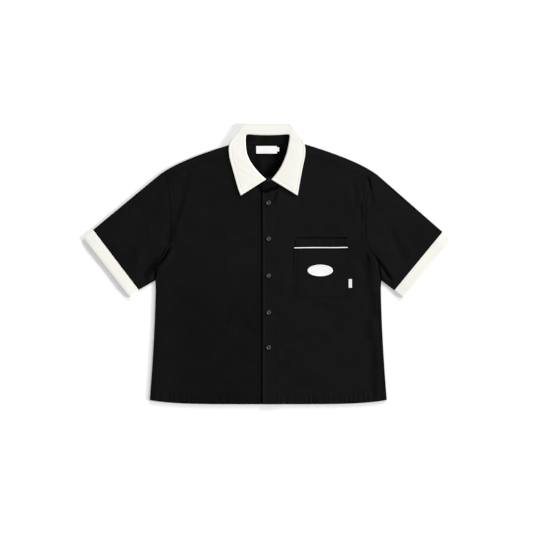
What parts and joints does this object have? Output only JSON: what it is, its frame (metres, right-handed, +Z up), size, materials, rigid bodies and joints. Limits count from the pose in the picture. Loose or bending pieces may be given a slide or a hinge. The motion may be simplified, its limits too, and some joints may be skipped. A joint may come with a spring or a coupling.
{
  "type": "bowling shirt",
  "caption": "Short-sleeved boxy shirt laid flat, front up, in black with a cream turned-down collar and sleeve bands, a buttoned front and a chest pocket.",
  "frame": {"origin": "middle of the shirt's outline, on the surface it lies on", "axes": "+Y towards the collar, +X towards the wearer's left sleeve, +Z up from the surface, out of the shirt's front"},
  "size_m": [0.9176, 0.6999, 0.0087],
  "materials": {
    "black_twill": "matte cotton twill, black",
    "cream_twill": "matte cotton twill, cream",
    "white_trim": "white cord, satin stitch and woven tape",
    "button_plastic": "dark grey polyester resin, low sheen"
  },
  "bodies": {
    "root": {"back": "black_twill", "yoke": "black_twill", "right_front": "black_twill", "left_front": "black_twill", "sleeve_right": "black_twill", "sleeve_left": "black_twill", "collar_stand": "black_twill", "pocket": "black_twill", "pocket_band": "black_twill", "cuff_right": "cream_twill", "cuff_left": "cream_twill", "collar_leaf": "cream_twill", "pocket_piping": "white_trim", "pocket_patch": "white_trim", "pocket_flag": "white_trim", "neck_label": "white_trim", "size_tab": "white_trim", "button_1": "button_plastic", "button_2": "button_plastic", "button_3": "button_plastic", "button_4": "button_plastic", "button_5": "button_plastic", "button_stand": "button_plastic"}
  },
  "joints": []
}
